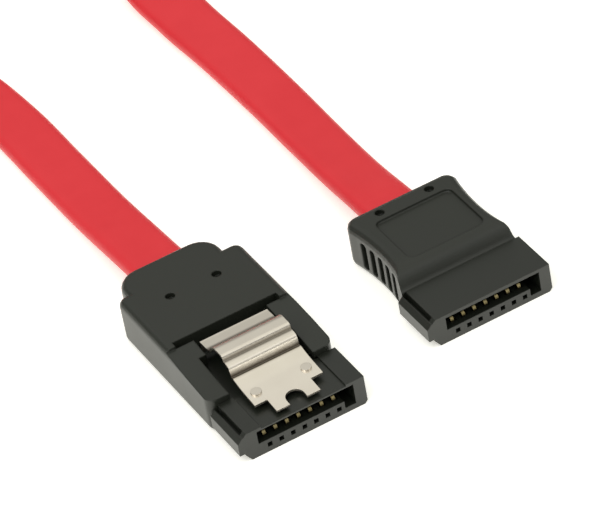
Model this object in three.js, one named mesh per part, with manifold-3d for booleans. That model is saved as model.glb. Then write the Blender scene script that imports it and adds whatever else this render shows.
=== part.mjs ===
// A flat serial data cable with a seven-contact plug on each end: one plug carries a sprung steel latch, the other
// is plain. Millimetres, +Z up. Both plugs lie on their bases with their mouths towards -Y. The origin is at the
// bottom centre of the two plugs, on the surface that they lie on.
import * as THREE from 'three';
import { mergeVertices } from 'three/addons/utils/BufferGeometryUtils.js';
import Module from 'manifold-3d';

const wasm = await Module();
wasm.setup();

// Clearances
const gap = 0.3; // between a piece and what holds it
const through = 1; // how far a cutter runs past the face that it opens

// The mating interface, alike on both plugs. X runs along the row of contacts, Y back from the mouth.
const contactCount = 7;
const contactPitch = 1.27;
const contactWidth = 0.36;
const contactThickness = 0.2;
const slotLeft = -4.95; // the mouth of the L-shaped slot, from the middle contact
const slotRight = 5.65;
const slotBottom = 1.47;
const slotHeight = 1.45;
const slotDepth = 5.0;
const keyWidth = 1.2; // the short leg of the L
const keyDrop = 0.85;
const noseLeft = -6.45;
const noseRight = 6.88;
const noseHeight = 3.3;
const noseChamfer = 0.33;
const noseSlantWidth = 0.6; // the cut-off lower left corner of the nose
const noseSlantHeight = 0.85;
const railReach = 0.59; // the guide rail along the left side of the nose
const railBottom = 1.05;
const railTop = 2.95;
const railSlant = 0.5;
const grooveWidth = 0.4; // between the rail and the nose
const grooveDepth = 0.95;
const bezel = 0.6; // the front of the nose closes the groove
const coreHalfWidth = 5.0; // the part of the housing that the boot holds
const coreBottom = 0.75;
const coreTop = 2.98;
const channelWidth = 0.7; // the groove of one contact, in the slot's floor
const channelTop = 1.6;
const seatRoof = 0.25; // the gap over the core, which the nose hides
const channelLip = 0.75; // closes the front of the grooves
const holeWidth = 0.5; // the small square holes in that lip
const holeHeight = 0.5;
const holeCentre = 0.83;
const tipSetback = 1.0; // the contacts' tips, behind the mouth
const bumpTop = 1.9; // the highest point of a contact
const tailBottom = 1.1;
const roofLeft = -4.4; // the shallow channel in the nose's top, under a latch
const roofRight = 4.9;
const roofDepth = 0.2;
const tailReach = 1.8; // the contacts' tails, behind the housing

// The flat cable
const cableWidth = 6.05;
const cableThickness = 1.75;
const cableCentre = 2.35; // its height where it leaves a boot
const cableInBoot = 4.0;
const wireDiameter = 0.6;
const wirePitch = 0.78; // where the wires enter the jacket

// The boot of the latched plug
const latchedBootLeft = -7.0;
const latchedBootRight = 6.85;
const latchedBootHeight = 5.05;
const latchedBootLength = 18.4; // from the nose to the shoulders
const latchedNoseLength = 5.4;
const neckLeft = -5.8;
const neckRight = 5.05;
const neckLength = 3.0;
const neckRadius = 2.4;
const latchedBevel = 0.7;
const latchedCorner = 0.95;
const wallFrontHeight = 4.0; // the side walls that flank the latch rise from here to the lugs
const wallInset = 2.3;
const recessLength = 8.9; // from the front of the walls back to the slit
const slitWidth = 0.7; // between the raised top and the lugs
const lugLength = 2.4;
const lugHeight = 4.75;

// The latch, a bent strip of spring steel
const latchWidth = 7.5;
const latchCentre = 0.15; // across the plug
const latchThickness = 0.25;
const latchFront = 0.6; // its tabs, behind the mouth
const latchProfile = [
  // its top line: behind the tabs, the height, and how far the bend there reaches
  [0, 3.68, 0],
  [4.5, 4.13, 0.8],
  [5.86, 4.5, 0.12],
  [6.12, 4.4, 0.08],
  [6.38, 5.56, 0.42],
  [7.31, 5.64, 0.07],
  [7.5, 6.22, 0.28],
  [9.35, 6.23, 0.7],
  [10.4, 4.98, 0.2],
  [11.0, 4.9, 0.1],
];
const bendSteps = 8;
const earSetback = 1.8; // the ears, behind the tabs
const tabInner = 1.05;
const tabOuter = 2.4;
const bumpRadius = 0.55;
const bumpTops = 4.15; // its two round bumps
const bumpOffset = 2.75; // across the latch
const bumpSetback = 3.25; // behind the tabs
const hingeHeight = 4.6; // the underside of its rear end
const hookHeight = 1.2; // the flange turned down there

// The boot of the plain plug
const plainNoseLength = 5.5;
const plainBootLength = 11.5;
const plainBootHeight = 5.1;
const plainRearHalfWidth = 6.5;
const plainWaistHalfWidth = 5.75;
const plainFrontHalfWidth = 6.5;
const plainBevel = 0.75;
const plainCorner = 1.25;
const browProfile = [
  // the sloping front of the boot: behind its foot, and the height over the nose
  [0.15, 0.06],
  [0.32, 0.28],
  [0.48, 0.6],
  [0.7, 0.98],
  [1.02, 1.34],
  [1.5, 1.62],
  [2.1, 1.76],
  [2.8, 1.8],
];
const gripCount = 5; // the upright grip slots in each side
const gripPitch = 1.48;
const gripWidth = 0.92;
const gripDepth = 0.95;
const gripCorner = 0.35;
const gripBottom = 0.8;
const gripHeight = 3.2;
const gripFirst = 2.3; // the foremost slot, behind the boot's front
const panelLeft = -4.05; // the sunken panel on top
const panelRight = 4.65;
const panelLength = 7.0;
const panelFront = 2.05;
const panelCorner = 0.8;
const panelDepth = 0.32;

// The round pits in the boots' tops
const pitRadius = 0.5;
const pitDepth = 0.6;
const pitOffset = 2.6;
const plainPitLeft = -2.7;
const plainPitRight = 3.0;
const latchedPitSetback = 3.2; // in front of the shoulders
const plainPitSetback = 1.4; // in front of the rear face

// How the plugs lie: the plain one is to the right of the latched one and a little behind it
const plugSpacing = 22.46;
const plugStagger = 2.54;

// The coil that holds the length out of sight, wound on edge in one turn and a half, and its tie
const coilCentreY = 105;
const coilRadius = 30.5;
const coilLow = 3.8; // the height of its first turn, at the middle of the cable's width
const coilHigh = 10.3; // the half turn on top of it
const climbStart = 15; // degrees past the right side
const climbEnd = 155;
const latchedTurns = [
  // millimetres along the cable from its end, and the degrees that it is turned about its own line there
  [0, 0],
  [55, 0],
  [63, 5],
  [95, 85],
  [103, 90],
];
const plainTurns = [
  [0, 0],
  [5, 0],
  [11, -4.5],
  [20, -4],
  [32, 0],
  [45, 6],
  [57, 15],
  [97, 85],
  [104, 90],
];
const endRun = 58; // the length of the two end pieces
const tieThickness = 0.35;
const tieWidth = 3.2;

// Colours and finishes
const black = new THREE.MeshStandardMaterial({ color: 0x2b2c29, roughness: 0.55, metalness: 0 });
const blackBoot = new THREE.MeshStandardMaterial({ color: 0x31322e, roughness: 0.6, metalness: 0 });
const red = new THREE.MeshStandardMaterial({ color: 0xd93a3e, roughness: 0.45, metalness: 0 });
const steel = new THREE.MeshStandardMaterial({ color: 0xc9c4b8, roughness: 0.3, metalness: 1 });
const gold = new THREE.MeshStandardMaterial({ color: 0xc9a75a, roughness: 0.3, metalness: 1 });
const copper = new THREE.MeshStandardMaterial({ color: 0xb87a4b, roughness: 0.4, metalness: 1 });
const tieBlack = new THREE.MeshStandardMaterial({ color: 0x1d1d1d, roughness: 0.5, metalness: 0 });

// Makes a solid of a closed geometry.
function solid(geometry) {
  geometry.deleteAttribute('normal');
  geometry.deleteAttribute('uv');
  const merged = mergeVertices(geometry, 1e-4);
  return new wasm.Manifold(
    new wasm.Mesh({
      numProp: 3,
      vertProperties: new Float32Array(merged.attributes.position.array),
      triVerts: new Uint32Array(merged.index.array),
    }),
  );
}

// Turns a solid back into a geometry.
function surface(body) {
  const mesh = body.getMesh();
  const geometry = new THREE.BufferGeometry();
  geometry.setAttribute('position', new THREE.BufferAttribute(new Float32Array(mesh.vertProperties), 3));
  geometry.setIndex(new THREE.BufferAttribute(new Uint32Array(mesh.triVerts), 1));
  geometry.computeVertexNormals();
  return geometry;
}

// Names a solid and gives it its material.
function piece(name, body, material) {
  const mesh = new THREE.Mesh(surface(body), material);
  mesh.name = name;
  return mesh;
}

// A box between two corners.
function block(x0, x1, y0, y1, z0, z1) {
  const geometry = new THREE.BoxGeometry(x1 - x0, y1 - y0, z1 - z0);
  geometry.translate((x0 + x1) / 2, (y0 + y1) / 2, (z0 + z1) / 2);
  return solid(geometry);
}

// An upright round pin.
function pin(x, y, z0, z1, radius, sides = 20) {
  const geometry = new THREE.CylinderGeometry(radius, radius, z1 - z0, sides);
  geometry.rotateX(Math.PI / 2);
  geometry.translate(x, y, (z0 + z1) / 2);
  return solid(geometry);
}

// A closed outline from corner points.
function outline(points) {
  return new THREE.Shape(points.map(([a, b]) => new THREE.Vector2(a, b)));
}

// An outline in X and Y, raised from z0 to z1, with its rims rounded by the bevel.
function raised(shape, z0, z1, bevel = 0, segments = 3) {
  const geometry = new THREE.ExtrudeGeometry(shape, {
    depth: z1 - z0 - 2 * bevel,
    bevelEnabled: bevel > 0,
    bevelSize: bevel,
    bevelOffset: -bevel,
    bevelThickness: bevel,
    bevelSegments: segments,
    curveSegments: 6,
  });
  geometry.translate(0, 0, z0 + bevel);
  return solid(geometry);
}

// An outline in X and Z, run along Y.
function alongY(shape, y0, y1) {
  const geometry = new THREE.ExtrudeGeometry(shape, { depth: y1 - y0, bevelEnabled: false, curveSegments: 6 });
  geometry.rotateX(Math.PI / 2);
  geometry.translate(0, y1, 0);
  return solid(geometry);
}

// An outline in Y and Z, run along X.
function alongX(shape, x0, x1) {
  const geometry = new THREE.ExtrudeGeometry(shape, { depth: x1 - x0, bevelEnabled: false, curveSegments: 6 });
  geometry.rotateY(Math.PI / 2);
  geometry.rotateX(Math.PI / 2);
  geometry.translate(x0, 0, 0);
  return solid(geometry);
}

// The points of one rounded corner of an outline in X and Y, which starts facing the angle and turns left.
function corner(x, y, radius, degrees, steps = 6) {
  const points = [];
  const middle = THREE.MathUtils.degToRad(degrees + 45);
  const centreX = x - Math.sign(Math.cos(middle)) * radius;
  const centreY = y - Math.sign(Math.sin(middle)) * radius;
  for (let k = 0; k <= steps; k += 1) {
    const angle = THREE.MathUtils.degToRad(degrees + (90 * k) / steps);
    points.push([centreX + radius * Math.cos(angle), centreY + radius * Math.sin(angle)]);
  }
  return points;
}

const contactPlaces = Array.from({ length: contactCount }, (_, i) => (i - (contactCount - 1) / 2) * contactPitch);
const slotTop = slotBottom + slotHeight;
const wireBottom = tailBottom + contactThickness / 2 - wireDiameter / 2;

// The insulating housing: the nose with its rail, slot and holes, and the core that the boot grips.
function housing(noseLength, coreLength, roofChannel) {
  const railLeft = noseLeft - railReach;
  const grooveRight = noseLeft + grooveWidth;
  const nose = outline([
    [noseLeft + noseSlantWidth, 0],
    [noseRight - noseChamfer, 0],
    [noseRight, noseChamfer],
    [noseRight, noseHeight],
    [grooveRight, noseHeight],
    [noseLeft, railTop],
    [railLeft + railSlant, railTop],
    [railLeft, railTop - railSlant],
    [railLeft, railBottom],
    [noseLeft, railBottom],
    [noseLeft, noseSlantHeight],
  ]);
  const rear = noseLength + coreLength;
  let body = alongY(nose, 0, noseLength);
  body = body.add(block(-coreHalfWidth, coreHalfWidth, noseLength - through, rear, coreBottom, coreTop));
  body = body.subtract(
    block(noseLeft, grooveRight, bezel, noseLength + through, noseHeight - grooveDepth, noseHeight + through),
  );
  if (roofChannel) {
    body = body.subtract(
      block(roofLeft, roofRight, -through, noseLength + through, noseHeight - roofDepth, noseHeight + through),
    );
  }
  body = body.subtract(block(slotLeft, slotRight, -through, slotDepth, slotBottom, slotTop));
  body = body.subtract(
    block(slotRight - keyWidth, slotRight, -through, slotDepth, slotBottom - keyDrop, slotBottom + through / 2),
  );
  for (const x of contactPlaces) {
    const channel = block(
      x - channelWidth / 2, x + channelWidth / 2, channelLip, rear + through, tailBottom - gap * 0.6, channelTop,
    );
    const hole = block(
      x - holeWidth / 2, x + holeWidth / 2, -through, channelLip + gap, holeCentre - holeHeight / 2,
      holeCentre + holeHeight / 2,
    );
    body = body.subtract(channel).subtract(hole);
  }
  return body;
}

// One contact: a sprung finger that rises from the slot's floor and curls down at its tip, with a straight tail.
function contact(x, rear) {
  const crest = bumpTop - contactThickness;
  const line = new THREE.SplineCurve([
    new THREE.Vector2(tipSetback, tailBottom + 0.05),
    new THREE.Vector2(tipSetback + 0.12, crest - 0.22),
    new THREE.Vector2(tipSetback + 0.4, crest),
    new THREE.Vector2(tipSetback + 0.85, crest - 0.1),
    new THREE.Vector2(tipSetback + 2.2, tailBottom + 0.18),
    new THREE.Vector2(slotDepth - 0.7, tailBottom + 0.02),
    new THREE.Vector2(slotDepth, tailBottom),
  ]);
  const path = [...line.getPoints(24), new THREE.Vector2(rear + tailReach, tailBottom)];
  return alongX(stripOutline(path, contactThickness), x - contactWidth / 2, x + contactWidth / 2);
}

// A line through the points with its bends rounded.
function bent(points, bends) {
  const line = [points[0]];
  for (let i = 1; i < points.length - 1; i += 1) {
    const before = points[i - 1].clone().sub(points[i]);
    const after = points[i + 1].clone().sub(points[i]);
    const reach = Math.min(bends[i], before.length() * 0.45, after.length() * 0.45);
    const start = points[i].clone().add(before.setLength(reach));
    const end = points[i].clone().add(after.setLength(reach));
    line.push(...new THREE.QuadraticBezierCurve(start, points[i], end).getPoints(bendSteps));
  }
  line.push(points.at(-1));
  return line;
}

// The closed outline of a bent strip, given the line along one side of it.
function stripOutline(line, thickness) {
  const other = line.map((point, i) => {
    const before = line[Math.max(i - 1, 0)];
    const after = line[Math.min(i + 1, line.length - 1)];
    const along = after.clone().sub(before).normalize();
    return new THREE.Vector2(point.x - along.y * thickness, point.y + along.x * thickness);
  });
  return new THREE.Shape([...line, ...other.reverse()]);
}

// One stripped wire between a contact's tail and the end of the cable's jacket.
function wire(index, start, end) {
  const x0 = contactPlaces[index];
  const x1 = (index - (contactCount - 1) / 2) * wirePitch;
  const z0 = tailBottom + contactThickness / 2;
  const middle = (start + end) / 2;
  const path = new THREE.CatmullRomCurve3([
    new THREE.Vector3(x0, start, z0),
    new THREE.Vector3(x0, start + (middle - start) / 2, z0),
    new THREE.Vector3((x0 + x1) / 2, middle, (z0 + cableCentre) / 2),
    new THREE.Vector3(x1, end - (end - middle) / 2, cableCentre),
    new THREE.Vector3(x1, end, cableCentre),
  ]);
  const round = new THREE.Shape().absarc(0, 0, wireDiameter / 2, 0, Math.PI * 2, false);
  const geometry = new THREE.ExtrudeGeometry(round, { steps: 10, extrudePath: path, curveSegments: 8 });
  return solid(geometry);
}

// What a boot leaves free inside: the seat of the housing's core, the room of the wires and the cable's way out.
function bootHollow(front, coreRear, bootRear) {
  const wireEnd = bootRear - cableInBoot;
  const seat = block(
    -coreHalfWidth - gap, coreHalfWidth + gap, front - through, coreRear + gap, coreBottom - gap, coreTop + seatRoof,
  );
  const wires = block(
    slotLeft, -slotLeft, coreRear, wireEnd, wireBottom - gap, cableCentre + cableThickness / 2 + gap,
  );
  const exit = block(
    -cableWidth / 2 - gap,
    cableWidth / 2 + gap,
    wireEnd - gap,
    bootRear + through,
    cableCentre - cableThickness / 2 - gap,
    cableCentre + cableThickness / 2 + gap,
  );
  return seat.add(wires).add(exit);
}

// The overmoulded boot of the latched plug: a body with shoulders and a neck, and two walls beside the latch.
function latchedBoot(front, coreRear) {
  const top = latchedBootHeight + through;
  const slitRear = front + recessLength;
  const lugRear = slitRear - slitWidth;
  const lugFront = lugRear - lugLength;
  const shoulder = front + latchedBootLength;
  const rear = shoulder + neckLength;
  const plan = outline([
    ...corner(latchedBootRight, front, latchedCorner, -90),
    ...corner(latchedBootRight, shoulder, latchedCorner, 0),
    [neckRight, shoulder],
    ...corner(neckRight, rear, neckRadius, 0),
    ...corner(neckLeft, rear, neckRadius, 90),
    [neckLeft, shoulder],
    ...corner(latchedBootLeft, shoulder, latchedCorner, 90),
    ...corner(latchedBootLeft, front, latchedCorner, 180),
  ]);
  let body = raised(plan, 0, latchedBootHeight, latchedBevel, 4);
  const slope = outline([
    [front - through, wallFrontHeight],
    [front, wallFrontHeight],
    [lugRear, lugHeight],
    [lugRear, top],
    [front - through, top],
  ]);
  const wallTops = alongX(slope, latchedBootLeft - through, latchedBootRight + through);
  const slit = block(
    latchedBootLeft + wallInset / 2, latchedBootRight - wallInset / 2, lugRear - 0.01, slitRear, noseHeight + gap, top,
  );
  const bay = block(
    latchedBootLeft + wallInset, latchedBootRight - wallInset, front - through, lugFront, coreTop, top,
  );
  const strip = block(
    latchCentre - latchWidth / 2 - gap, latchCentre + latchWidth / 2 + gap, lugFront - through, slitRear - 0.01,
    coreTop, top,
  );
  body = body.subtract(wallTops).subtract(slit).subtract(bay).subtract(strip);
  body = body.subtract(bootHollow(front, coreRear, rear));
  for (const side of [-1, 1]) {
    const y = shoulder - latchedPitSetback;
    body = body.subtract(pin(side * pitOffset, y, latchedBootHeight - pitDepth, top, pitRadius));
  }
  return body;
}

// The steel latch: hooked behind the lugs at its rear, humped and creased for the thumb, and flat to its tabs.
function latch(rear) {
  const hinge = rear - latchThickness;
  const front = latchFront;
  const rearTop = hingeHeight + latchThickness;
  const line = latchProfile.map(([back, height]) => new THREE.Vector2(front + back, height));
  const bends = latchProfile.map((row) => row[2]);
  const top = bent([...line, new THREE.Vector2(hinge, rearTop)], bends);
  const left = latchCentre - latchWidth / 2;
  const right = latchCentre + latchWidth / 2;
  let body = alongX(stripOutline(top, -latchThickness), left, right);
  body = body.add(block(left, right, hinge - 0.05, rear, rearTop - hookHeight, rearTop));
  const plan = new THREE.Shape();
  const tabs = front + earSetback;
  const notchRadius = tabInner - 0.1;
  plan.moveTo(left - through, front - through);
  plan.lineTo(latchCentre - tabOuter, front - through);
  plan.lineTo(latchCentre - tabOuter, tabs);
  plan.lineTo(left - through, tabs);
  const corner = raised(plan, noseHeight, lugHeight, 0);
  const mirrored = block(latchCentre + tabOuter, right + through, front - through, tabs, noseHeight, lugHeight);
  const notch = pin(latchCentre, front + notchRadius * 0.65, noseHeight, lugHeight, notchRadius, 24).add(
    block(latchCentre - notchRadius, latchCentre + notchRadius, front - through, front + notchRadius * 0.65, noseHeight, lugHeight),
  );
  body = body.subtract(corner).subtract(mirrored).subtract(notch);
  for (const side of [-1, 1]) {
    const bump = pin(
      latchCentre + side * bumpOffset, front + bumpSetback, bumpTops - latchThickness, bumpTops, bumpRadius,
    );
    body = body.add(bump);
  }
  return body;
}

// The half-width of the plain boot at a distance behind its front: wide, drawn in at the waist, and wide again.
function plainHalfWidth(back) {
  const waist = plainBootLength * 0.45;
  const share = back < waist ? (waist - back) / waist : (back - waist) / (plainBootLength - waist);
  const end = back < waist ? plainFrontHalfWidth : plainRearHalfWidth;
  return plainWaistHalfWidth + (end - plainWaistHalfWidth) * share * share;
}

// The overmoulded boot of the plain plug: waisted, with grip slots, a sloping front and a sunken panel on top.
function plainBoot(front, coreRear) {
  const rear = front + plainBootLength;
  const right = [];
  for (let i = 0; i <= 10; i += 1) {
    const back = (i / 10) * (plainBootLength - plainCorner);
    right.push([plainHalfWidth(back), front + back]);
  }
  const rearHalfWidth = plainHalfWidth(plainBootLength - plainCorner);
  for (let k = 1; k <= 6; k += 1) {
    const angle = (k / 6) * (Math.PI / 2);
    right.push([
      rearHalfWidth - plainCorner * (1 - Math.cos(angle)),
      rear - plainCorner * (1 - Math.sin(angle)),
    ]);
  }
  const plan = outline([...right, ...right.toReversed().map(([x, y]) => [-x, y])]);
  let body = raised(plan, 0, plainBootHeight, plainBevel);
  const side = new THREE.Shape();
  side.moveTo(front - through, plainBootHeight + through);
  side.lineTo(front - through, noseHeight);
  side.lineTo(front, noseHeight);
  side.splineThru(browProfile.map(([back, rise]) => new THREE.Vector2(front + back, noseHeight + rise)));
  side.lineTo(front + browProfile.at(-1)[0], plainBootHeight + through);
  body = body.subtract(alongX(side, -plainFrontHalfWidth - through, plainFrontHalfWidth + through));
  for (let i = 0; i < gripCount; i += 1) {
    const back = gripFirst + i * gripPitch;
    const inner = plainHalfWidth(back) - gripDepth;
    for (const mirror of [-1, 1]) {
      const [y0, y1] = [front + back - gripWidth / 2, front + back + gripWidth / 2];
      const [z0, z1] = [gripBottom, gripBottom + gripHeight];
      const shape = outline([
        ...corner(y1, z0, gripCorner, -90, 3),
        ...corner(y1, z1, gripCorner, 0, 3),
        ...corner(y0, z1, gripCorner, 90, 3),
        ...corner(y0, z0, gripCorner, 180, 3),
      ]);
      const slot = alongX(shape, Math.min(mirror * inner, mirror * (inner + 2)), Math.max(mirror * inner, mirror * (inner + 2)));
      body = body.subtract(slot);
    }
  }
  const panelBack = front + panelFront + panelLength;
  const panel = raised(
    outline([
      ...corner(panelRight, front + panelFront, panelCorner, -90),
      ...corner(panelRight, panelBack, panelCorner, 0),
      ...corner(panelLeft, panelBack, panelCorner, 90),
      ...corner(panelLeft, front + panelFront, panelCorner, 180),
    ]),
    plainBootHeight - panelDepth,
    plainBootHeight + through,
    panelDepth / 2,
  );
  body = body.subtract(panel).subtract(bootHollow(front, coreRear, rear));
  for (const x of [plainPitLeft, plainPitRight]) {
    body = body.subtract(
      pin(x, rear - plainPitSetback, plainBootHeight - pitDepth, plainBootHeight + through, pitRadius),
    );
  }
  return body;
}

// The flat cable's section, with round edges: its width along X, its thickness along Y.
function cableSection() {
  const flat = (cableWidth - cableThickness) / 2;
  const shape = new THREE.Shape();
  shape.absarc(flat, 0, cableThickness / 2, -Math.PI / 2, Math.PI / 2, false);
  shape.absarc(-flat, 0, cableThickness / 2, Math.PI / 2, Math.PI * 1.5, false);
  return shape;
}

// Smooth passage from 0 to 1 between two values.
function ease(value, from, to) {
  const t = Math.min(Math.max((value - from) / (to - from), 0), 1);
  return t * t * (3 - 2 * t);
}

// The value that a table of pairs gives at a place, straight between its rows and level past its ends.
function tableAt(table, place) {
  const next = table.findIndex(([start]) => start >= place);
  if (next < 0) {
    return table.at(-1)[1];
  }
  if (next === 0) {
    return table[0][1];
  }
  const [[a, low], [b, high]] = [table[next - 1], table[next]];
  return low + ((high - low) * (place - a)) / (b - a);
}

// The points of the coil: it starts at its left side, turns by way of the far side and ends at its right side.
function coilPoints() {
  const points = [];
  for (let turned = 0; turned <= 540; turned += 15) {
    const angle = THREE.MathUtils.degToRad(180 - turned);
    const height = coilLow + (coilHigh - coilLow) * ease(turned - 180, climbStart, climbEnd);
    points.push([coilRadius * Math.cos(angle), coilCentreY + coilRadius * Math.sin(angle), height]);
  }
  return points;
}

// One piece of the cable, between two shares of its whole route, turned on edge where it is coiled.
function cablePiece(curve, from, to, steps) {
  const length = curve.getLength();
  const geometry = new THREE.ExtrudeGeometry(cableSection(), { depth: 1, steps, bevelEnabled: false, curveSegments: 5 });
  const place = geometry.attributes.position;
  const up = new THREE.Vector3(0, 0, 1);
  for (let i = 0; i < place.count; i += 1) {
    const share = from + (to - from) * place.getZ(i);
    const turned =
      share < 0.5 ? tableAt(latchedTurns, share * length) : tableAt(plainTurns, (1 - share) * length);
    const centre = curve.getPointAt(share);
    const along = curve.getTangentAt(share);
    const across = new THREE.Vector3().crossVectors(along, up).normalize();
    across.applyAxisAngle(along, THREE.MathUtils.degToRad(turned));
    const normal = new THREE.Vector3().crossVectors(along, across);
    centre.addScaledVector(across, place.getX(i)).addScaledVector(normal, place.getY(i));
    place.setXYZ(i, centre.x, centre.y, centre.z);
  }
  return solid(geometry);
}

// The tie round the coil, at its far side.
function coilTie() {
  const near = coilCentreY + coilRadius - cableThickness / 2 - gap;
  const far = coilCentreY + coilRadius + cableThickness / 2 + gap;
  const top = coilHigh + cableWidth / 2 + gap;
  const band = block(-tieWidth / 2, tieWidth / 2, near - tieThickness, far + tieThickness, 0, top + tieThickness);
  return band.subtract(block(-tieWidth, tieWidth, near, far, tieThickness, top));
}

// Builds one plug's contacts and wires.
function contactsAndWires(prefix, coreRear, bootRear) {
  const meshes = [];
  contactPlaces.forEach((x, i) => {
    meshes.push(piece(`${prefix}_contact_${i + 1}`, contact(x, coreRear), gold));
    const start = coreRear + tailReach + gap;
    const end = bootRear - cableInBoot - gap;
    meshes.push(piece(`${prefix}_wire_${i + 1}`, wire(i, start, end), copper));
  });
  return meshes;
}

const latchedCoreLength = recessLength + 1.5;
const latchedCoreRear = latchedNoseLength + latchedCoreLength;
const latchedRear = latchedNoseLength + latchedBootLength + neckLength;
const plainCoreLength = 3.6;
const plainCoreRear = plainNoseLength + plainCoreLength;
const plainRear = plainNoseLength + plainBootLength;

// The two plugs stand so that the origin is in the middle of both.
const widthFromLeft = plugSpacing + noseRight - (noseLeft - railReach);
const plugLeft = -widthFromLeft / 2 - (noseLeft - railReach);
const plugFront = -latchedRear / 2;

const latchedPlug = new THREE.Group();
latchedPlug.position.set(plugLeft, plugFront, 0);
latchedPlug.add(
  piece('latched_housing', housing(latchedNoseLength, latchedCoreLength, true), black),
  piece('latched_boot', latchedBoot(latchedNoseLength, latchedCoreRear), blackBoot),
  piece('latch', latch(latchedNoseLength + recessLength - slitWidth * 2), steel),
  ...contactsAndWires('latched', latchedCoreRear, latchedRear),
);

const plainPlug = new THREE.Group();
plainPlug.position.set(plugLeft + plugSpacing, plugFront + plugStagger, 0);
plainPlug.add(
  piece('plain_housing', housing(plainNoseLength, plainCoreLength, false), black),
  piece('plain_boot', plainBoot(plainNoseLength, plainCoreRear), blackBoot),
  ...contactsAndWires('plain', plainCoreRear, plainRear),
);

// The cable's route, chosen by hand: out of each boot, down to the surface and on to the coil.
const plainX = plugLeft + plugSpacing;
const latchedLead = [
  [plugLeft, plugFront + latchedRear - cableInBoot, cableCentre],
  [plugLeft, 14, cableCentre],
  [plugLeft, 20, 1.85],
  [plugLeft, 28, 1.15],
  [plugLeft, 38, 0.95],
  [plugLeft - 0.1, 48, 0.95],
  [plugLeft - 1.3, 58, 1.15],
  [plugLeft - 5.5, 69, 2.0],
  [plugLeft - 12.6, 80, 3.1],
  [-29.1, 91.8, 3.7],
];
const plainLead = [
  [29.1, 91.8, 10.2],
  [plainX + 12.2, 80, 8.4],
  [plainX + 4.6, 70, 5.2],
  [plainX + 0.2, 60.5, 2.3],
  [plainX + 0.15, 52, 1.35],
  [plainX + 0.55, 43, 1.1],
  [plainX + 0.65, 33, 1.0],
  [plainX + 0.45, 24, 1.1],
  [plainX + 0.15, 16, 1.6],
  [plainX, 8, cableCentre],
  [plainX, plugFront + plugStagger + plainRear - cableInBoot, cableCentre],
];
const route = [...latchedLead, ...coilPoints(), ...plainLead].map((point) => new THREE.Vector3(...point));
const cableCurve = new THREE.CatmullRomCurve3(route, false, 'centripetal');
cableCurve.arcLengthDivisions = 1600;
const endShare = endRun / cableCurve.getLength();
const cableGroup = new THREE.Group();
cableGroup.add(
  piece('cable_latched_end', cablePiece(cableCurve, 0, endShare, 14), red),
  piece('cable_coil', cablePiece(cableCurve, endShare, 1 - endShare, 84), red),
  piece('cable_plain_end', cablePiece(cableCurve, 1 - endShare, 1, 14), red),
  piece('coil_tie', coilTie(), tieBlack),
);

const dataCable = new THREE.Group();
dataCable.add(latchedPlug, plainPlug, cableGroup);

export default dataCable;
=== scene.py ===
"""Looks of a coiled flat data cable with a latched and a plain plug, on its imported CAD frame.

Sizes are millimetres in the part's own frame: +X along the contact rows, -Y out of the mouths, +Z up.
Blender works in metres, so what is built is scaled by MM.
"""

import logging
import math
from dataclasses import dataclass, field
from enum import Enum
from typing import ClassVar

import bpy
import numpy as np
from mathutils import Matrix, Vector


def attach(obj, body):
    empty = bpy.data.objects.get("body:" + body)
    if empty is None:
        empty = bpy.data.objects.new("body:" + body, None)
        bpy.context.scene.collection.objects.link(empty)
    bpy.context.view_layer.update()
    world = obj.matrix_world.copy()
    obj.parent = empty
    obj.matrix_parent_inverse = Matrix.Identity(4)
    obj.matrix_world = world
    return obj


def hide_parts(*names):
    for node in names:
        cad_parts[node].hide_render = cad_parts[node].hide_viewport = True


LOG = logging.getLogger("data_cable")
MM = 0.001
HALF_TURN = 180
# The sRGB curve is a straight foot up to its knee, and a shifted power above it.
SRGB_KNEE = 0.04045
SRGB_SLOPE = 12.92
SRGB_SHIFT = 0.055
SRGB_POWER = 2.4


class Body(Enum):
    """The bodies that pieces ride on."""

    CABLE = "cable"
    LATCH = "latch"


class Grain(Enum):
    """What a finish's streaks follow."""

    NONE = "none"
    STRIP = "strip"
    JACKET = "jacket"


@dataclass(frozen=True)
class FoldShade:
    """A line across the latch, along X, round which shade is painted on the strip.

    Attributes:
        y: Its place.
        z: Its height.
        reach: How far the painted shade reaches round it.
        depth: How dark the painted shade is on the line, from 0 to 1.
    """

    y: float
    z: float
    reach: float
    depth: float


@dataclass(frozen=True)
class Finish:
    """What one material looks like.

    Attributes:
        name: What the real material is and how its surface was made.
        slot: The record's material slot. Not used.
        colour: Its sRGB colour.
        tint: The sRGB colour that it drifts towards in patches.
        roughness: Of the shader's own surface.
        metallic: 1 for bare metal.
        specular: The shader's specular level.
        grain_mm: Size of the fine surface grain; 0 leaves it out.
        grain_depth: Strength of the grain's bump.
        mottle: How much the roughness drifts over the surface.
        edge_mm: Radius of the shading's rounded edges; 0 leaves them sharp.
        streaks: What its long streaks follow.
        fold_shades: The lines round which shade is painted.
        fold_shade_colour: The sRGB colour of that painted shade.
    """

    name: str
    slot: str
    colour: str
    tint: str
    roughness: float
    metallic: float = 0.0
    specular: float = 0.5
    grain_mm: float = 0.0
    grain_depth: float = 0.0
    mottle: float = 0.06
    edge_mm: float = 0.0
    streaks: Grain = Grain.NONE
    fold_shades: tuple[FoldShade, ...] = ()
    fold_shade_colour: str = ""


# Glass-filled polyester out of a polished mould: near black, a soft even sheen, and crisp edges.
HOUSING = Finish(
    name="moulded_polyester",
    slot="black_housing",
    colour="#181B15",
    tint="#1C1F19",
    roughness=0.4,
    grain_mm=0.2,
    grain_depth=0.14,
    edge_mm=0.08,
)
# Soft vinyl moulded over the cable, out of a finely eroded mould: a little duller, with rounder edges.
BOOT = Finish(
    name="overmoulded_vinyl",
    slot="black_boot",
    colour="#1A1D17",
    tint="#20231C",
    roughness=0.44,
    grain_mm=0.12,
    grain_depth=0.28,
    mottle=0.08,
    edge_mm=0.22,
)
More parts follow.
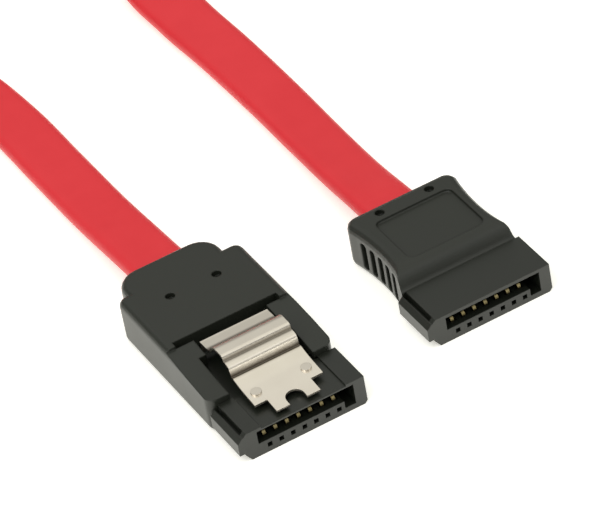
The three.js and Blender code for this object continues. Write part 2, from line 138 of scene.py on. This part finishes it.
# Phosphor bronze with a thin flash of gold that has dulled: small dark yellow glints in the mouths.
CONTACT = Finish(
    name="flashed_bronze",
    slot="contact_metal",
    colour="#968A68",
    tint="#84784F",
    roughness=0.32,
    metallic=1.0,
    edge_mm=0.04,
)
# Bare drawn copper: plain and warm, and hidden in the boots.
WIRE = Finish(
    name="drawn_copper",
    slot="wire_metal",
    colour="#B87A4B",
    tint="#A0663A",
    roughness=0.35,
    metallic=1.0,
)
# Cold-rolled spring strip: satin, with faint rolling lines along it, and with shade painted in and behind
# its folds.
STEEL = Finish(
    name="rolled_spring_strip",
    slot="spring_steel",
    colour="#E2DBD0",
    tint="#D6CEC2",
    roughness=0.3,
    metallic=1.0,
    mottle=0.1,
    edge_mm=0.05,
    streaks=Grain.STRIP,
    # Painted shade: the strip is darkened round these fold lines, in the colour below.
    fold_shades=(
        FoldShade(y=-6.62, z=4.52, reach=0.62, depth=0.9),
        FoldShade(y=-5.45, z=5.76, reach=0.5, depth=0.85),
        FoldShade(y=-2.2, z=4.95, reach=0.5, depth=0.8),
    ),
    fold_shade_colour="#463D32",
)
# Extruded vinyl jacket: an even satin red with hardly visible draw lines along it.
JACKET = Finish(
    name="extruded_vinyl",
    slot="red_jacket",
    colour="#E4363E",
    tint="#DC2E37",
    roughness=0.45,
    specular=0.3,
    grain_mm=0.4,
    grain_depth=0.03,
    streaks=Grain.JACKET,
)
# Moulded nylon band: black, with a soft sheen and just rounded edges.
TIE = Finish(
    name="moulded_nylon",
    slot="tie_plastic",
    colour="#1B1B1B",
    tint="#222222",
    roughness=0.45,
    grain_mm=0.2,
    grain_depth=0.06,
    edge_mm=0.1,
)
# Matt white board under the object: even, and without a sheen.
BOARD = Finish(
    name="white_board",
    slot="",
    colour="#FFFFFF",
    tint="#FFFFFF",
    roughness=0.9,
    specular=0.0,
    mottle=0.0,
)


def linear(hex_colour: str) -> tuple[float, float, float, float]:
    """Turns an sRGB colour into the linear one that shaders use.

    Up to the knee a channel is divided by the slope. Above it, the channel plus the shift is divided by one
    plus the shift, and raised to the power.

    Args:
        hex_colour: Six hexadecimal digits, with or without a leading sign.

    Returns:
        Red, green, blue and an alpha of 1.
    """
    digits = hex_colour.lstrip("#")
    values = [int(digits[i : i + 2], 16) / 255 for i in (0, 2, 4)]
    red, green, blue = (
        v / SRGB_SLOPE if v <= SRGB_KNEE else ((v + SRGB_SHIFT) / (1 + SRGB_SHIFT)) ** SRGB_POWER
        for v in values
    )
    return red, green, blue, 1.0


def ease(value: np.ndarray, start: float, end: float) -> np.ndarray:
    """Passes smoothly from 0 at start to 1 at end: three times the share squared, less twice its cube.

    Args:
        value: What runs from start to end.
        start: Where the passage starts.
        end: Where it ends.

    Returns:
        The share reached, from 0 to 1.
    """
    share = np.clip((value - start) / (end - start), 0, 1)
    return share * share * (3 - 2 * share)


def mesh_object(name: str, points: np.ndarray, faces: list[list[int]], smooth: bool) -> bpy.types.Object:
    """Makes an object at the origin from points in millimetres.

    Args:
        name: Its name.
        points: Its points, one a row.
        faces: Point numbers of each face, outwards.
        smooth: Whether its faces shade smoothly.

    Returns:
        The new object.
    """
    mesh = bpy.data.meshes.new(name)
    mesh.from_pydata((np.asarray(points) * MM).tolist(), [], faces)
    mesh.update()
    mesh.polygons.foreach_set("use_smooth", np.full(len(mesh.polygons), smooth))
    thing = bpy.data.objects.new(name, mesh)
    bpy.context.scene.collection.objects.link(thing)
    return thing


@dataclass
class Shader:
    """Builds the node material of one finish.

    Attributes:
        finish: What it looks like.
        patch_mm: Size of the patches in which its colour and roughness drift.
        patch_detail: Octaves of the patches' and the streaks' noise.
        grain_detail: Octaves of the grain's noise.
        strip_streak_mm: Size of a rolling line across and along the strip.
        jacket_streak_mm: Size of a draw line across and along the cable.
        streak_depth: Strength of the streaks' bump.
        bump_mm: Height of the bumps at full strength.
        edge_samples: Rays with which a rounded edge is found.
    """

    finish: Finish
    patch_mm: float = 4.0
    patch_detail: float = 2.0
    grain_detail: float = 1.0
    strip_streak_mm: tuple[float, float] = (0.16, 5.0)
    jacket_streak_mm: tuple[float, float] = (0.45, 25.0)
    streak_depth: float = 0.04
    bump_mm: float = 0.02
    edge_samples: int = 4

    def __post_init__(self) -> None:
        """Starts an empty material, with no surface yet."""
        self.material = bpy.data.materials.new(self.finish.name)
        self.material.use_nodes = True
        self.tree = self.material.node_tree
        self.tree.nodes.clear()
        self.surface: bpy.types.Node | None = None

    def add(self, kind: str, settings: dict | None = None, **links: bpy.types.NodeSocket) -> bpy.types.Node:
        """Adds one node.

        Args:
            kind: The node's type, without "ShaderNode".
            settings: Its properties and the constants of its sockets.
            **links: Output sockets by input name, with _ for a space.

        Returns:
            The new node.
        """
        node = self.tree.nodes.new("ShaderNode" + kind)
        for name, value in (settings or {}).items():
            if hasattr(node, name):
                setattr(node, name, value)
            else:
                node.inputs[name].default_value = value
        for name, output in links.items():
            self.tree.links.new(output, node.inputs[name.replace("_", " ")])
        return node

    def streaks(self, place: bpy.types.NodeSocket) -> bpy.types.NodeSocket | None:
        """Draws long faint lines: a noise that is stretched along one direction.

        Args:
            place: Object coordinates.

        Returns:
            The lines' brightness, or nothing where the finish has none.
        """
        if self.finish.streaks is Grain.NONE:
            return None
        if self.finish.streaks is Grain.STRIP:
            across, along = self.strip_streak_mm
            scale = (1 / (across * MM), 1 / (along * MM), 1 / (along * MM))
        else:
            place = self.add("UVMap", {"uv_map": FlatCable.uv_name}).outputs["UV"]
            across, along = self.jacket_streak_mm
            scale = (1 / across, 1 / along, 1.0)
        spread = self.add("Mapping", {"Scale": scale}, Vector=place).outputs["Vector"]
        noise = self.add("TexNoise", {"Scale": 1.0, "Detail": self.patch_detail}, Vector=spread)
        return noise.outputs["Fac"]

    def colour(self, place: bpy.types.NodeSocket, drift: bpy.types.NodeSocket) -> bpy.types.NodeSocket:
        """Mixes the colour with its tint in patches, and paints shade in the fold shade colour round the
        folds' lines.

        Args:
            place: Object coordinates.
            drift: The patches, from 0 to 1.

        Returns:
            The colour.
        """
        look = self.finish
        ends = {"Color1": linear(look.colour), "Color2": linear(look.tint)}
        mixed = self.add("MixRGB", ends, Fac=drift).outputs["Color"]
        if not look.fold_shades:
            return mixed
        # Painted shade round the fold lines.
        ends = {"Color2": linear(look.fold_shade_colour)}
        return self.add("MixRGB", ends, Fac=self.fold_shade_share(place), Color1=mixed).outputs["Color"]

    def fold_shade_share(self, place: bpy.types.NodeSocket) -> bpy.types.NodeSocket:
        """Measures how much painted shade the folds put on a point, by its distance from their lines.

        Each fold's share falls smoothly from its depth on the line to 0 at its reach. The largest counts.

        Args:
            place: Object coordinates.

        Returns:
            The share, from 0 to 1.
        """
        across = self.add("VectorMath", {"operation": "MULTIPLY"}, Vector=place)
        across.inputs[1].default_value = (0, 1, 1)
        largest = None
        for fold in self.finish.fold_shades:
            away = self.add("VectorMath", {"operation": "DISTANCE"}, Vector=across.outputs["Vector"])
            away.inputs[1].default_value = (0, fold.y * MM, fold.z * MM)
            fall = {"From Max": fold.reach * MM, "To Min": fold.depth, "To Max": 0.0}
            near = self.add(
                "MapRange",
                {"interpolation_type": "SMOOTHSTEP", **fall},
                Value=away.outputs["Value"],
            ).outputs["Result"]
            if largest:
                joined = self.add("Math", {"operation": "MAXIMUM"}, Value=near)
                self.tree.links.new(largest, joined.inputs[1])
                near = joined.outputs["Value"]
            largest = near
        return largest

    def normal(
        self, place: bpy.types.NodeSocket, lines: bpy.types.NodeSocket | None
    ) -> bpy.types.NodeSocket | None:
        """Rounds the edges and lays the grain and the streaks over them as bumps.

        Args:
            place: Object coordinates.
            lines: The streaks, if any.

        Returns:
            The normal, or nothing where the surface is left as it is.
        """
        look = self.finish
        normal = None
        if look.edge_mm:
            edge = {"samples": self.edge_samples, "Radius": look.edge_mm * MM}
            normal = self.add("Bevel", edge).outputs["Normal"]
        bumps = []
        if look.grain_mm:
            noise = {"Scale": 1 / (look.grain_mm * MM), "Detail": self.grain_detail}
            bumps.append((look.grain_depth, self.add("TexNoise", noise, Vector=place).outputs["Fac"]))
        if lines:
            bumps.append((self.streak_depth, lines))
        for depth, height in bumps:
            bump = self.add("Bump", {"Strength": depth, "Distance": self.bump_mm * MM}, Height=height)
            if normal:
                self.tree.links.new(normal, bump.inputs["Normal"])
            normal = bump.outputs["Normal"]
        return normal

    def build(self) -> bpy.types.Material:
        """Builds the finish: a surface whose colour and roughness drift, with bumps and rounded edges.

        Returns:
            The material.
        """
        look = self.finish
        place = self.add("TexCoord").outputs["Object"]
        patches = {"Scale": 1 / (self.patch_mm * MM), "Detail": self.patch_detail}
        drift = self.add("TexNoise", patches, Vector=place).outputs["Fac"]
        ends = {"To Min": look.roughness * (1 - look.mottle), "To Max": look.roughness * (1 + look.mottle)}
        rough = self.add("MapRange", ends, Value=drift).outputs["Result"]
        self.surface = self.add(
            "BsdfPrincipled",
            {"Metallic": look.metallic, "Specular IOR Level": look.specular},
            Base_Color=self.colour(place, drift),
            Roughness=rough,
        )
        normal = self.normal(place, self.streaks(place))
        if normal:
            self.tree.links.new(normal, self.surface.inputs["Normal"])
        self.add("OutputMaterial", Surface=self.surface.outputs["BSDF"])
        return self.material


class Finishes:
    """The finished materials, each built once."""

    def __init__(self) -> None:
        """Starts with none."""
        self.made: dict[str, bpy.types.Material] = {}

    def of(self, finish: Finish) -> bpy.types.Material:
        """Gives the material of a finish.

        Args:
            finish: What it looks like.

        Returns:
            The material.
        """
        if finish.name not in self.made:
            self.made[finish.name] = Shader(finish).build()
        return self.made[finish.name]

    def put(self, node: bpy.types.Object, finish: Finish) -> None:
        """Gives an object one finish all over.

        Args:
            node: The object.
            finish: What it looks like.
        """
        node.data.materials.clear()
        node.data.materials.append(self.of(finish))


@dataclass(frozen=True)
class Plug:
    """One plug of the cable, whose pieces are all CAD nodes.

    Attributes:
        kind: How its nodes' names start.
        x: Its middle contact.
        exit_y: Where the cable leaves its boot.
        contacts: How many contacts and wires it has.
    """

    kind: str
    x: float
    exit_y: float
    contacts: int = 7

    def dress(self, nodes: dict[str, bpy.types.Object], finishes: Finishes) -> list[str]:
        """Gives its pieces their finishes.

        Args:
            nodes: The CAD nodes by name.
            finishes: The materials.

        Returns:
            The names of the pieces.
        """
        looks = {f"{self.kind}_housing": HOUSING, f"{self.kind}_boot": BOOT}
        for number in range(1, self.contacts + 1):
            looks[f"{self.kind}_contact_{number}"] = CONTACT
            looks[f"{self.kind}_wire_{number}"] = WIRE
        for name, finish in looks.items():
            finishes.put(nodes[name], finish)
        return list(looks)


@dataclass(frozen=True)
class LatchedPlug(Plug):
    """The plug that carries the sprung latch."""

    kind: str = "latched"
    x: float = -11.15
    exit_y: float = 9.4

    def dress(self, nodes: dict[str, bpy.types.Object], finishes: Finishes) -> list[str]:
        """Gives its pieces and the latch their finishes.

        Args:
            nodes: The CAD nodes by name.
            finishes: The materials.

        Returns:
            The names of the pieces.
        """
        finishes.put(nodes[Body.LATCH.value], STEEL)
        return [*super().dress(nodes, finishes), Body.LATCH.value]


@dataclass(frozen=True)
class PlainPlug(Plug):
    """The plug without a latch."""

    kind: str = "plain"
    x: float = 11.31
    exit_y: float = 2.14


@dataclass
class CableRoute:
    """The line that the middle of the cable follows, from the latched plug to the plain one.

    Attributes:
        latched: The plug that it starts from.
        plain: The plug that it ends in.
        exit_z: Its height where it leaves a boot.
        coil_centre_y: The middle of the coil.
        coil_radius: Of the coil's middle line.
        coil_low: Height of the lower turn.
        coil_high: Height of the upper turn.
        coil_turn: Degrees that the coil turns in all.
        coil_step: Degrees between its points.
        climb: Degrees past the half turn at which it starts and stops climbing.
        latched_turns: Millimetres from the latched end, and the degrees that the cable is turned there.
        plain_turns: The same from the plain end.
        line: Points along the whole line, close together.
        travel: The length travelled at each of them.
    """

    latched: LatchedPlug
    plain: PlainPlug
    exit_z: float = 2.35
    coil_centre_y: float = 105.0
    coil_radius: float = 30.5
    coil_low: float = 3.8
    coil_high: float = 10.3
    coil_turn: int = 540
    coil_step: int = 15
    climb: tuple[float, float] = (15.0, 155.0)
    latched_turns: tuple[tuple[float, float], ...] = ((0, 0), (55, 0), (63, 5), (95, 85), (103, 90))
    plain_turns: tuple[tuple[float, float], ...] = (
        (0, 0),
        (5, 0),
        (11, -4.5),
        (20, -4),
        (32, 0),
        (45, 6),
        (57, 15),
        (97, 85),
        (104, 90),
    )
    line: np.ndarray = field(init=False)
    travel: np.ndarray = field(init=False)

    def __post_init__(self) -> None:
        """Lays the points and measures the line through them."""
        self.line = self.through(np.vstack([self.lead_in(), self.coil(), self.lead_out()]))
        steps = np.linalg.norm(np.diff(self.line, axis=0), axis=1)
        self.travel = np.concatenate([[0], np.cumsum(steps)])

    @property
    def length(self) -> float:
        """The length of the line."""
        return float(self.travel[-1])

    def lead_in(self) -> np.ndarray:
        """Gives the points from the latched plug to the coil, listed as in the CAD.

        Returns:
            The points, one a row.
        """
        x = self.latched.x
        return np.array(
            [
                (x, self.latched.exit_y, self.exit_z),
                (x, 14, self.exit_z),
                (x, 20, 1.85),
                (x, 28, 1.15),
                (x, 38, 0.95),
                (x - 0.1, 48, 0.95),
                (x - 1.3, 58, 1.15),
                (x - 5.5, 69, 2.0),
                (x - 12.6, 80, 3.1),
                (-29.1, 91.8, 3.7),
            ]
        )

    def coil(self) -> np.ndarray:
        """Gives the points of the coil: a circle from its left side, clockwise, that climbs once.

        A point is the radius times the cosine and sine of its angle, round the middle of the coil. It is low
        for half a turn, climbs over the coming half turn, and is high from there on.

        Returns:
            The points, one a row.
        """
        turned = np.arange(0, self.coil_turn + 1, self.coil_step)
        angle = np.radians(HALF_TURN - turned)
        rise = (self.coil_high - self.coil_low) * ease(turned - HALF_TURN, *self.climb)
        x = self.coil_radius * np.cos(angle)
        y = self.coil_centre_y + self.coil_radius * np.sin(angle)
        return np.column_stack([x, y, self.coil_low + rise])

    def lead_out(self) -> np.ndarray:
        """Gives the points from the coil to the plain plug, listed as in the CAD.

        Returns:
            The points, one a row.
        """
        x = self.plain.x
        return np.array(
            [
                (29.1, 91.8, 10.2),
                (x + 12.2, 80, 8.4),
                (x + 4.6, 70, 5.2),
                (x + 0.2, 60.5, 2.3),
                (x + 0.15, 52, 1.35),
                (x + 0.55, 43, 1.1),
                (x + 0.65, 33, 1.0),
                (x + 0.45, 24, 1.1),
                (x + 0.15, 16, 1.6),
                (x, 8, self.exit_z),
                (x, self.plain.exit_y, self.exit_z),
            ]
        )

    @staticmethod
    def through(points: np.ndarray, steps: int = 12) -> np.ndarray:
        """Runs a centripetal Catmull-Rom line through the points.

        Each stretch blends three straight lines through its four nearest points, weighted by a parameter
        that grows with the square root of the distance between points.

        Args:
            points: The points, one a row.
            steps: How many points to give for each stretch.

        Returns:
            The line's points, close together.
        """
        padded = np.vstack([2 * points[0] - points[1], points, 2 * points[-1] - points[-2]])[:, None]
        a, b, c, d = padded[:-3], padded[1:-2], padded[2:-1], padded[3:]

        def knot(start: np.ndarray, end: np.ndarray) -> np.ndarray:
            """Gives the square root of the distance between two points."""
            return np.sqrt(np.linalg.norm(end - start, axis=2, keepdims=True))

        t1 = knot(a, b)
        t2 = t1 + knot(b, c)
        t3 = t2 + knot(c, d)
        u = t1 + (t2 - t1) * np.linspace(0, 1, steps, endpoint=False)[None, :, None]

        def blend(first: np.ndarray, second: np.ndarray, low: np.ndarray, high: np.ndarray) -> np.ndarray:
            """Passes in a straight line from first, where u is low, to second, where u is high."""
            return ((high - u) * first + (u - low) * second) / (high - low)

        start = np.zeros_like(t1)
        a1, a2, a3 = blend(a, b, start, t1), blend(b, c, t1, t2), blend(c, d, t2, t3)
        b1, b2 = blend(a1, a2, start, t2), blend(a2, a3, t1, t3)
        return np.vstack([blend(b1, b2, t1, t2).reshape(-1, 3), points[-1:]])

    def rings(self, spacing: float) -> tuple[np.ndarray, np.ndarray, np.ndarray, np.ndarray]:
        """Samples the line evenly, with the cable's own axes at each sample.

        The level axis is the line's direction crossed with up. It is turned about the line by the degrees of
        latched_turns over the first half, and of plain_turns over the second.

        Args:
            spacing: The distance between samples.

        Returns:
            The travelled lengths, the centres, and the unit vectors across and normal to the flat cable.
        """
        travel = np.linspace(0, self.length, int(self.length / spacing) + 1)
        centres = np.column_stack([np.interp(travel, self.travel, self.line[:, i]) for i in range(3)])
        along = np.gradient(centres, axis=0)
        along /= np.linalg.norm(along, axis=1)[:, None]
        level = np.cross(along, [0, 0, 1])
        level /= np.linalg.norm(level, axis=1)[:, None]
        upright = np.cross(along, level)
        turn = np.where(
            travel < self.length / 2,
            np.interp(travel, *zip(*self.latched_turns)),
            np.interp(self.length - travel, *zip(*self.plain_turns)),
        )
        turn = np.radians(turn)[:, None]
        across = level * np.cos(turn) + upright * np.sin(turn)
        return travel, centres, across, np.cross(along, across)


@dataclass
class FlatCable:
    """The red flat cable, as one smooth skin, and the band round its coil.

    Attributes:
        route: Where it runs.
        width: Of its section.
        thickness: Of its section.
        real_length: The length of the real cable. Not used.
        ring_step: Distance between the skin's rings.
        path_step: Distance between the points at which dress samples the path.
        edge_points: Points round each edge of the section.
        flat_points: Points along each flat face, with the edges' own.
    """

    uv_name: ClassVar[str] = "jacket"

    route: CableRoute
    width: float = 6.05
    thickness: float = 1.75
    real_length: float = 500.0
    ring_step: float = 1.0
    path_step: float = 2.0
    edge_points: int = 9
    flat_points: int = 8

    def section(self) -> np.ndarray:
        """Gives the cable's outline: two half circles joined by two flat faces.

        Returns:
            Points across and up, anticlockwise.
        """
        half, flat = self.thickness / 2, (self.width - self.thickness) / 2
        angles = np.linspace(-math.pi / 2, math.pi / 2, self.edge_points)
        right = np.column_stack([flat + half * np.cos(angles), half * np.sin(angles)])
        across = np.linspace(flat, -flat, self.flat_points)[1:-1]
        upper = np.column_stack([across, np.full(len(across), half)])
        return np.vstack([right, upper, -right, -upper])

    def build(self) -> bpy.types.Object:
        """Each point is a ring's centre, plus the unit vectors across and normal times the outline's values.

        Returns:
            The cable.
        """
        travel, centres, across, normal = self.route.rings(self.ring_step)
        outline = self.section()
        count, sides = len(centres), len(outline)
        sideways = across[:, None] * outline[None, :, :1]
        upwards = normal[:, None] * outline[None, :, 1:]
        points = (centres[:, None] + sideways + upwards).reshape(-1, 3)
        here = np.arange(sides)
        after = (here + 1) % sides
        start = np.arange(count - 1)[:, None] * sides
        quads = np.stack([start + here, start + after, start + sides + after, start + sides + here], axis=-1)
        caps = [here[::-1].tolist(), (here + (count - 1) * sides).tolist()]
        cable = mesh_object("red_cable", points, quads.reshape(-1, 4).tolist() + caps, smooth=True)
        places = np.stack(np.broadcast_arrays(outline[None, :, 0], travel[:, None]), axis=-1)
        self.unwrap(cable.data, places.reshape(-1, 2))
        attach(cable, Body.CABLE.value)
        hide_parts("cable_latched_end", "cable_coil", "cable_plain_end")
        return cable

    def unwrap(self, mesh: bpy.types.Mesh, places: np.ndarray) -> None:
        """Lays the UV map: millimetres across the cable, and millimetres along it.

        Args:
            mesh: The cable's mesh.
            places: Both values for each of its points.
        """
        corners = np.empty(len(mesh.loops), dtype=np.int32)
        mesh.loops.foreach_get("vertex_index", corners)
        layer = mesh.uv_layers.new(name=self.uv_name)
        layer.data.foreach_set("uv", places[corners].ravel())

    def dress(self, cable: bpy.types.Object, nodes: dict[str, bpy.types.Object], finishes: Finishes) -> None:
        """Args:
            cable: The cable's skin.
            nodes: The CAD nodes by name.
            finishes: The materials.
        """
        finishes.put(cable, JACKET)
        finishes.put(nodes["coil_tie"], TIE)
        centres = self.route.rings(self.path_step)[1] * MM


@dataclass(frozen=True)
class Lamp:
    """One soft round lamp that points at the object.

    Attributes:
        name: Its name.
        place: Where it hangs.
        size: Its diameter.
        power: In watts.
    """

    name: str
    place: tuple[float, float, float]
    size: float
    power: float

    def hang(self) -> None:
        """Makes the lamp."""
        data = bpy.data.lights.new(self.name, "AREA")
        data.shape = "DISK"
        data.size = self.size * MM
        data.energy = self.power
        lamp = bpy.data.objects.new(self.name, data)
        lamp.location = Vector(self.place) * MM
        lamp.rotation_euler = (-lamp.location).to_track_quat("-Z", "Y").to_euler()
        bpy.context.scene.collection.objects.link(lamp)


@dataclass(frozen=True)
class Studio:
    """Camera, lights, floor and surroundings.

    Attributes:
        eye: Where the camera stands.
        right: The direction that runs right in the picture.
        up: The direction that runs up in the picture.
        lens: Focal length, on a sensor of sensor_width.
        sensor_width: Of the camera.
        sight: The nearest and the farthest distance that the camera sees.
        lamps: The soft lamps.
        room: Brightness of the room at its darkest, low down, and straight up.
        room_heights: The upward share of a direction at which the room starts and stops growing brighter.
        room_colour: Its sRGB colour.
        floor_half: Half the floor's side.
        glow_colour: sRGB colour of the light that the floor shows but doesn't cast.
        glow_to_camera: How much of it the camera sees, which keeps the floor white.
        glow_to_gloss: How much of it glossy surfaces reflect.
    """

    eye: tuple[float, float, float] = (-136.615, -314.1, 280.1)
    right: tuple[float, float, float] = (0.856, -0.494, -0.149)
    up: tuple[float, float, float] = (0.415, 0.487, 0.768)
    lens: float = 273.0
    sensor_width: float = 36.0
    sight: tuple[float, float] = (10.0, 10000.0)
    lamps: tuple[Lamp, ...] = (
        Lamp("key", (-330, -150, 380), 420, 1.0),
        Lamp("fill", (260, -330, 300), 420, 0.35),
        Lamp("back", (60, 380, 420), 420, 0.12),
    )
    room: tuple[float, float] = (0.35, 1.1)
    room_heights: tuple[float, float] = (0.45, 1.05)
    room_colour: str = "#FFFFF6"
    floor_half: float = 1500.0
    glow_colour: str = "#FFFDF1"
    glow_to_camera: float = 0.42
    glow_to_gloss: float = 0.9

    def camera(self) -> None:
        """Places the camera that was fitted to the photograph."""
        right = Vector(self.right).normalized()
        up = Vector(self.up)
        up = (up - right * up.dot(right)).normalized()
        data = bpy.data.cameras.new("camera")
        data.lens = self.lens
        data.sensor_width = self.sensor_width
        data.sensor_fit = "HORIZONTAL"
        data.clip_start = self.sight[0] * MM
        data.clip_end = self.sight[1] * MM
        eye = bpy.data.objects.new("camera", data)
        place = Matrix((right, up, right.cross(up))).transposed().to_4x4()
        place.translation = Vector(self.eye) * MM
        eye.matrix_world = place
        bpy.context.scene.collection.objects.link(eye)
        bpy.context.scene.camera = eye

    def floor(self) -> None:
        """Lays the white board, which stays white to the camera but for the object's shadow."""
        half = self.floor_half
        corners = np.array([(-half, -half, 0), (half, -half, 0), (half, half, 0), (-half, half, 0)])
        floor = mesh_object("floor", corners, [[0, 1, 2, 3]], smooth=False)
        shader = Shader(BOARD)
        floor.data.materials.append(shader.build())
        shader.surface.inputs["Emission Color"].default_value = linear(self.glow_colour)
        rays = shader.add("LightPath").outputs
        camera = shader.add("MapRange", {"To Max": self.glow_to_camera}, Value=rays["Is Camera Ray"])
        glow = shader.add(
            "MapRange",
            {"To Max": self.glow_to_gloss},
            Value=rays["Is Glossy Ray"],
            To_Min=camera.outputs["Result"],
        )
        shader.tree.links.new(glow.outputs["Result"], shader.surface.inputs["Emission Strength"])

    def world(self) -> None:
        """Makes the surroundings white to the camera, and a room with a dim horizon to all else."""
        world = bpy.data.worlds.new("world")
        world.use_nodes = True
        tree = world.node_tree

        def between(
            low: float, high: float, value: bpy.types.NodeSocket, start: float, end: float
        ) -> bpy.types.Node:
            """Adds a node that passes smoothly from low to high while the value runs from start to end."""
            node = tree.nodes.new("ShaderNodeMapRange")
            node.interpolation_type = "SMOOTHSTEP"
            for name, amount in (("From Min", start), ("From Max", end), ("To Min", low), ("To Max", high)):
                node.inputs[name].default_value = amount
            tree.links.new(value, node.inputs["Value"])
            return node

        direction = tree.nodes.new("ShaderNodeTexCoord").outputs["Generated"]
        parts = tree.nodes.new("ShaderNodeSeparateXYZ")
        tree.links.new(direction, parts.inputs["Vector"])
        room = between(*self.room, parts.outputs["Z"], *self.room_heights)
        rays = tree.nodes.new("ShaderNodeLightPath")
        # The camera sees white. All else sees the room, whose brightness is linked in as the lower end.
        strength = between(0.0, 1.0, rays.outputs["Is Camera Ray"], 0.0, 1.0)
        tree.links.new(room.outputs["Result"], strength.inputs["To Min"])
        background = tree.nodes["Background"]
        background.inputs["Color"].default_value = linear(self.room_colour)
        tree.links.new(strength.outputs["Result"], background.inputs["Strength"])
        bpy.context.scene.world = world

    def build(self) -> None:
        """Sets the whole studio."""
        self.camera()
        for lamp in self.lamps:
            lamp.hang()
        self.floor()
        self.world()
        bpy.context.scene.view_settings.view_transform = "Standard"


def main() -> None:
    """Builds the studio and the object, piece by piece, and logs the cable's centreline length and the
    plugs' pieces.
    """
    logging.basicConfig(level=logging.INFO)
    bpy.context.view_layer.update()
    Studio().build()
    nodes, finishes = FRAME["nodes"], Finishes()
    latched, plain = LatchedPlug(), PlainPlug()
    cable = FlatCable(CableRoute(latched, plain))
    skin = cable.build()
    cable.dress(skin, nodes, finishes)
    LOG.info("%s: centreline %.1f mm", skin.name, cable.route.length)
    for plug in (latched, plain):
        LOG.info("%s plug: %s", plug.kind, ", ".join(plug.dress(nodes, finishes)))


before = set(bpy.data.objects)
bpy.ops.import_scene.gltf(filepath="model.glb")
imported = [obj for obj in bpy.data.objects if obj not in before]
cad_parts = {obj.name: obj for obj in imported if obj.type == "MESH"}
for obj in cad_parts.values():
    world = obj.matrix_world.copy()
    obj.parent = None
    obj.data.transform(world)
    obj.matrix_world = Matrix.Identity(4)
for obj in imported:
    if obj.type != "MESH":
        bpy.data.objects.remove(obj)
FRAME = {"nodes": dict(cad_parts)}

if __name__ == "__main__":
    main()
